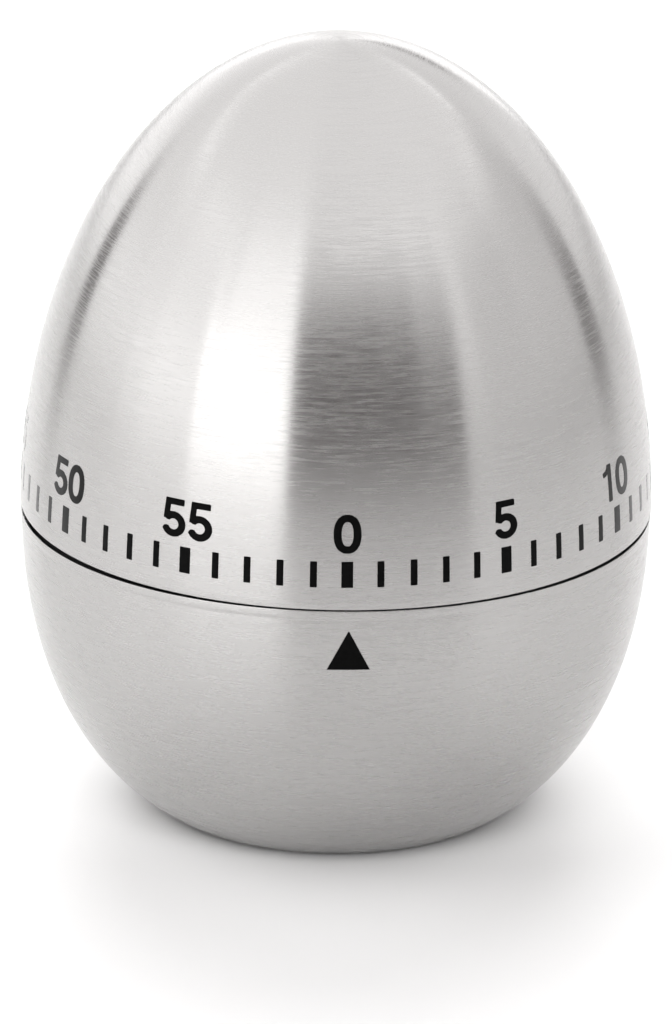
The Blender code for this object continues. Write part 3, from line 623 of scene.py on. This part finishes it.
class Shade:
    """A material with a Principled shader, and short ways to add nodes and join them up."""

    def __init__(self, name, colour, metallic, roughness):
        self.material = bpy.data.materials.new(name)
        self.material.use_nodes = True
        self.tree = self.material.node_tree
        self.shader = self.tree.nodes["Principled BSDF"]
        self.shader.inputs["Base Color"].default_value = (*colour, 1.0)
        self.shader.inputs["Metallic"].default_value = metallic
        self.shader.inputs["Roughness"].default_value = roughness

    def join(self, source, socket):
        """Links an output to an input, or sets the input to a number."""
        if isinstance(source, (int, float)):
            socket.default_value = source
        else:
            self.tree.links.new(source, socket)

    def math(self, operation, a, b=0.0, c=0.0):
        node = self.tree.nodes.new("ShaderNodeMath")
        node.operation = operation
        for value, socket in zip((a, b, c), node.inputs):
            self.join(value, socket)
        return node.outputs[0]

    def object_xyz(self):
        """Coordinates in the piece's own frame, in metres."""
        coordinates = self.tree.nodes.new("ShaderNodeTexCoord")
        split = self.tree.nodes.new("ShaderNodeSeparateXYZ")
        self.join(coordinates.outputs["Object"], split.inputs[0])
        return split.outputs

    def vector(self, x, y, z):
        node = self.tree.nodes.new("ShaderNodeCombineXYZ")
        for value, socket in zip((x, y, z), node.inputs):
            self.join(value, socket)
        return node.outputs[0]

    def noise(self, vector, scale, detail=2.0, roughness=0.5):
        node = self.tree.nodes.new("ShaderNodeTexNoise")
        self.join(vector, node.inputs["Vector"])
        node.inputs["Scale"].default_value = scale
        node.inputs["Detail"].default_value = detail
        node.inputs["Roughness"].default_value = roughness
        return node.outputs[0]

    def spread(self, value, low, high, out_low, out_high):
        """Maps a value from one range to another."""
        node = self.tree.nodes.new("ShaderNodeMapRange")
        self.join(value, node.inputs["Value"])
        limits = {"From Min": low, "From Max": high, "To Min": out_low, "To Max": out_high}
        for key, number in limits.items():
            node.inputs[key].default_value = number
        return node.outputs[0]

    def ramp(self, value, stops):
        """Colour that changes with a value; a stop is (value, colour)."""
        node = self.tree.nodes.new("ShaderNodeValToRGB")
        self.join(value, node.inputs[0])
        elements = node.color_ramp.elements
        while len(elements) < len(stops):
            elements.new(0.5)
        for element, (place, colour) in zip(elements, stops):
            element.position = place
            element.color = (*colour, 1.0)
        return node.outputs[0]

    def bump(self, height, strength, distance):
        node = self.tree.nodes.new("ShaderNodeBump")
        self.join(height, node.inputs["Height"])
        node.inputs["Strength"].default_value = strength
        node.inputs["Distance"].default_value = distance
        self.join(node.outputs[0], self.shader.inputs["Normal"])

    def paint(self, value, dark, light, low=0.30, high=0.70):
        """Runs the base colour between two tones as a value goes from low to high."""
        self.join(self.ramp(value, [(low, dark), (high, light)]), self.shader.inputs["Base Color"])

    def roughen(self, value, smoothest, roughest):
        """Runs the roughness between two limits with a noise value."""
        self.join(self.spread(value, 0.3, 0.7, smoothest, roughest), self.shader.inputs["Roughness"])


def brushed_shell_material():
    """Satin stainless steel brushed round and round: its grain follows circles about the upright axis."""
    s = Shade("steel_shell", (0.66, 0.655, 0.65), 1.0, 0.34)
    x, y, z = s.object_xyz()
    radius = s.math("SQRT", s.math("ADD", s.math("MULTIPLY", x, x), s.math("MULTIPLY", y, y)))
    lift = s.math("DIVIDE", s.math("SUBTRACT", z, SEAM_Z * MM), DOME_HEIGHT * MM)
    climb = s.math("ARCTAN2", lift, s.math("DIVIDE", radius, DOME_RADIUS * MM))
    # about the way up along the shell, in metres
    climb = s.math("MULTIPLY", climb, 0.5 * (DOME_RADIUS + DOME_HEIGHT) * MM)

    def streaks(along, across):
        flat = (s.math("MULTIPLY", x, along), s.math("MULTIPLY", y, along))
        return s.noise(s.vector(*flat, s.math("MULTIPLY", climb, across)), 1.0, 2.0, 0.6)

    fine = streaks(340.0, 7400.0)
    coarse = streaks(110.0, 3000.0)
    cloud = s.noise(s.vector(x, y, z), 60.0, 2.0)
    grain = s.math("ADD", s.math("MULTIPLY", fine, 0.72), s.math("MULTIPLY", coarse, 0.28))
    s.paint(grain, (0.4550, 0.4480, 0.4430), (0.4575, 0.4500, 0.4450))
    rough = s.math("ADD", s.spread(grain, 0.3, 0.7, 0.200, 0.320), s.spread(cloud, 0.3, 0.7, -0.01, 0.01))
    s.join(rough, s.shader.inputs["Roughness"])
    s.shader.inputs["Anisotropic"].default_value = 0.9
    s.shader.inputs["Anisotropic Rotation"].default_value = 0.25
    tangent = s.tree.nodes.new("ShaderNodeTangent")
    tangent.direction_type = "RADIAL"
    tangent.axis = "Z"
    s.join(tangent.outputs[0], s.shader.inputs["Tangent"])
    s.bump(grain, 0.075, 0.00001)
    return s.material


def ink_material():
    """Black screen print: black face on, and a mirror at a glancing angle, as any smooth thin ink is."""
    s = Shade("black_ink", (0.002, 0.002, 0.002), 1.0, 0.20)
    x, y, z = s.object_xyz()
    place = s.vector(x, y, z)
    speck = s.noise(place, 2500.0, 3.0)
    s.paint(speck, (0.0010, 0.0010, 0.0010), (0.0030, 0.0030, 0.0030), 0.3, 0.75)
    s.roughen(s.noise(place, 400.0), 0.17, 0.24)
    s.bump(speck, 0.06, 0.00001)
    s.shader.inputs["Coat Weight"].default_value = 1.0
    s.shader.inputs["Coat IOR"].default_value = 1.12
    s.shader.inputs["Coat Roughness"].default_value = 0.15
    return s.material


def tones(colour, down, up, lift=0.0):
    """A darker and a lighter tone of a colour."""
    return tuple(c * down for c in colour), tuple(min(1.0, c * up + lift) for c in colour)


def sheet_metal_material(name, colour, roughness, grain=1200.0):
    """Rolled or plated metal: fine straight grain and cloudy tarnish."""
    s = Shade(name, colour, 1.0, roughness)
    x, y, z = s.object_xyz()
    grained = s.noise(s.vector(s.math("MULTIPLY", x, 0.06), y, z), grain, 3.0, 0.6)
    cloud = s.noise(s.vector(x, y, z), 140.0, 3.0)
    mix = s.math("ADD", s.math("MULTIPLY", grained, 0.6), s.math("MULTIPLY", cloud, 0.4))
    s.paint(mix, *tones(colour, 0.80, 1.14))
    s.roughen(mix, roughness * 0.85, roughness * 1.25)
    s.bump(grained, 0.2, 0.00002)
    return s.material


def turned_metal_material(name, colour, roughness):
    """Lathe-turned metal: close rings across the axis."""
    s = Shade(name, colour, 1.0, roughness)
    x, y, z = s.object_xyz()
    rings = s.noise(s.vector(s.math("MULTIPLY", x, 0.05), s.math("MULTIPLY", y, 0.05), z), 5000.0, 2.0)
    cloud = s.noise(s.vector(x, y, z), 200.0, 2.0)
    mix = s.math("ADD", s.math("MULTIPLY", rings, 0.5), s.math("MULTIPLY", cloud, 0.5))
    s.paint(mix, *tones(colour, 0.82, 1.12))
    s.roughen(cloud, roughness * 0.85, roughness * 1.2)
    s.bump(rings, 0.2, 0.00001)
    return s.material


def moulded_material(name, colour, roughness, texture=3500.0, lift=0.00003):
    """Moulded plastic or rubber: fine eroded texture and slightly uneven tone."""
    s = Shade(name, colour, 0.0, roughness)
    x, y, z = s.object_xyz()
    place = s.vector(x, y, z)
    pits = s.noise(place, texture, 3.0, 0.6)
    cloud = s.noise(place, 120.0, 3.0)
    s.paint(cloud, *tones(colour, 0.8, 1.2, 0.004))
    s.roughen(pits, roughness * 0.88, min(1.0, roughness * 1.12))
    s.bump(pits, 0.3, lift)
    return s.material


SLOT_MATERIALS = {
    "black_plastic": moulded_material("black_plastic", (0.022, 0.022, 0.023), 0.52),
    "foot_rubber": moulded_material("foot_rubber", (0.03, 0.03, 0.03), 0.82, 2200.0, 0.00006),
    "zinc_screws": turned_metal_material("zinc_screws", (0.70, 0.69, 0.66), 0.34),
    "bell_metal": turned_metal_material("bell_metal", (0.76, 0.74, 0.70), 0.16),
    "plate_steel": sheet_metal_material("plate_steel", (0.66, 0.65, 0.62), 0.38),
    "turned_steel": turned_metal_material("turned_steel", (0.60, 0.61, 0.62), 0.24),
    "stamped_steel": sheet_metal_material("stamped_steel", (0.55, 0.56, 0.57), 0.33, 900.0),
    "brass": sheet_metal_material("brass", (0.80, 0.60, 0.27), 0.30, 1500.0),
    "nylon": moulded_material("nylon", (0.80, 0.79, 0.74), 0.45),
    "spring_steel": sheet_metal_material("spring_steel", (0.14, 0.17, 0.26), 0.28, 1800.0),
}
SLOT_MATERIALS["steel_shell"] = brushed_shell_material()
steel = SLOT_MATERIALS["steel_shell"]

for part in frame["record"]["subparts"]:
    node = frame["nodes"][part["node"]]
    node.data.materials.clear()
    node.data.materials.append(SLOT_MATERIALS[part["material_slot"]])

dome = build_dome(steel)
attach(dome, "dial")
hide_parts("top_shell")
bowl = build_bowl(steel)
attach(bowl, "base")
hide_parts("bottom_shell")
cover = build_cover(SLOT_MATERIALS["black_plastic"])
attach(cover, "base")
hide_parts("base_cover")
foot = build_foot(SLOT_MATERIALS["foot_rubber"])
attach(foot, "base")
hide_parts("foot_ring")
for number, angle in enumerate(BASE_SCREW_ANGLES, 1):
    screw = build_screw(number, angle, SLOT_MATERIALS["zinc_screws"])
    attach(screw, "base")
    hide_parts(f"base_screw_{number}")
marks, numbers, pointer = build_print(ink_material())
for piece, body in ((marks, "dial"), (numbers, "dial"), (pointer, "base")):
    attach(piece, body)


# ---------------------------------------------------------------- stage and light

def floor_material():
    """Smooth pale floor with a hardly visible unevenness."""
    s = Shade("stage_floor", (0.92, 0.92, 0.92), 0.0, 0.40)
    x, y, z = s.object_xyz()
    cloud = s.noise(s.vector(x, y, z), 40.0, 3.0)
    s.paint(cloud, (0.915, 0.915, 0.915), (0.925, 0.925, 0.925))
    return s.material


def build_floor():
    """Flat floor under the timer."""
    bm = bmesh.new()
    bmesh.ops.create_grid(bm, x_segments=8, y_segments=8, size=FLOOR_HALF)
    mesh = bpy.data.meshes.new("stage_floor")
    bm.to_mesh(mesh)
    bm.free()
    floor = bpy.data.objects.new("stage_floor", mesh)
    bpy.context.scene.collection.objects.link(floor)
    mesh.materials.append(floor_material())


def softbox(name, width, height, radiance, use, shape, matrix):
    """Area light in metres that shows in glossy surfaces only ("gloss") or lights matt ones only ("matt")."""
    data = bpy.data.lights.new(name, "AREA")
    data.shape = shape
    data.size = width
    data.size_y = height
    fill = math.pi / 4 if shape == "ELLIPSE" else 1.0
    data.energy = radiance * width * height * fill * math.pi
    light = bpy.data.objects.new(name, data)
    bpy.context.scene.collection.objects.link(light)
    light.matrix_world = matrix
    light.visible_camera = False
    light.visible_glossy = use == "gloss"
    light.visible_diffuse = use == "matt"


def wall(name, azimuth, width, low, high, radiance):
    """Upright softbox that shows in the metal. Angles are in degrees, azimuth from the front towards +X."""
    azimuth, width, low, high = (math.radians(value) for value in (azimuth, width, low, high))
    bottom = RIG_RADIUS * math.tan(low)
    top = RIG_RADIUS * math.tan(high)
    back = Vector((math.sin(azimuth), -math.cos(azimuth), 0.0))
    middle = back * RIG_RADIUS + Vector((0.0, 0.0, RIG_CENTRE + 0.5 * (bottom + top)))
    place = Matrix.Translation(middle) @ back.to_track_quat("Z", "Y").to_matrix().to_4x4()
    across = 2.0 * RIG_RADIUS * math.tan(0.5 * width)
    softbox(name, across, top - bottom, radiance, "gloss", "RECTANGLE", place)


def panel(name, azimuth, elevation, width, height, radiance, use, shape="RECTANGLE"):
    """Softbox that faces the timer from above, with its width and height in degrees seen from the timer."""
    azimuth, elevation, width, height = (math.radians(value) for value in (azimuth, elevation, width, height))
    flat = math.cos(elevation)
    back = Vector((math.sin(azimuth) * flat, -math.cos(azimuth) * flat, math.sin(elevation)))
    place = Matrix.Translation(back * RIG_RADIUS + Vector((0.0, 0.0, RIG_CENTRE)))
    place = place @ back.to_track_quat("Z", "Y").to_matrix().to_4x4()
    softbox(name, 2.0 * RIG_RADIUS * math.tan(0.5 * width), 2.0 * RIG_RADIUS * math.tan(0.5 * height),
            radiance, use, shape, place)


# name, azimuth, width, lowest and highest elevation, radiance
WALLS = [
    ("key_low", -39.4, 38.0, 0.0, 22.0, 3.15),
    ("key_high", -37.6, 34.0, 22.0, 41.0, 1.70),
    ("left_low_1", -75.5, 33.0, 0.0, 16.0, 2.05),
    ("left_low_2", -108.5, 33.0, 0.0, 16.0, 1.75),
    ("left_high_1", -77.7, 45.0, 16.0, 41.0, 1.48),
    ("left_high_2", -119.5, 39.0, 16.0, 41.0, 1.38),
    ("left_fill", -70.0, 24.0, 0.0, 24.0, 0.20),
    ("back_low_1", 141.0, 34.0, 0.0, 21.0, 1.20),
    ("back_low_2", 175.0, 34.0, 0.0, 16.0, 1.90),
    ("back_low_3", 209.0, 34.0, 0.0, 16.0, 1.65),
    ("back_high_1", 148.2, 48.5, 21.0, 41.0, 1.20),
    ("back_high_2", 196.8, 48.5, 16.0, 41.0, 1.35),
    ("right_low_1", 63.0, 33.5, 0.0, 21.0, 1.00),
    ("right_low_2", 96.0, 32.5, 0.0, 21.0, 1.00),
    ("right_gap", 118.2, 11.0, 9.0, 21.0, 0.65),
    ("right_high_1", 67.0, 34.0, 21.0, 40.0, 0.92),
    ("right_high_2", 104.0, 40.0, 21.0, 41.0, 0.97),
    ("right_soft", 44.0, 26.0, 16.0, 38.0, 0.42),
    ("right_soft_high", 33.0, 34.0, 27.0, 38.0, 0.24),
]

# name, azimuth, elevation, width, height, radiance, kind of surface, shape if it isn't a rectangle
PANELS = [
    ("front_high", 12.0, 44.0, 62.0, 12.0, 0.66, "gloss"),
    ("ceiling", 0.0, 89.0, 104.0, 104.0, 1.40, "gloss", "ELLIPSE"),
    ("wash_back", 178.0, 50.0, 44.0, 36.0, 4.05, "matt"),
    ("wash_left", -90.0, 45.0, 50.0, 40.0, 2.3, "matt"),
    ("wash_right", 90.0, 45.0, 50.0, 40.0, 1.4, "matt"),
    ("wash_front", 0.0, 31.0, 50.0, 40.0, 3.9, "matt"),
]

world = bpy.data.worlds.new("world")
bpy.context.scene.world = world
world.use_nodes = True
background = world.node_tree.nodes["Background"]
background.inputs["Color"].default_value = WORLD_COLOUR
background.inputs["Strength"].default_value = WORLD
build_floor()
for entry in WALLS:
    wall(*entry)
for entry in PANELS:
    panel(*entry)
bpy.context.scene.view_settings.view_transform = "Standard"
bpy.context.scene.view_settings.look = "None"
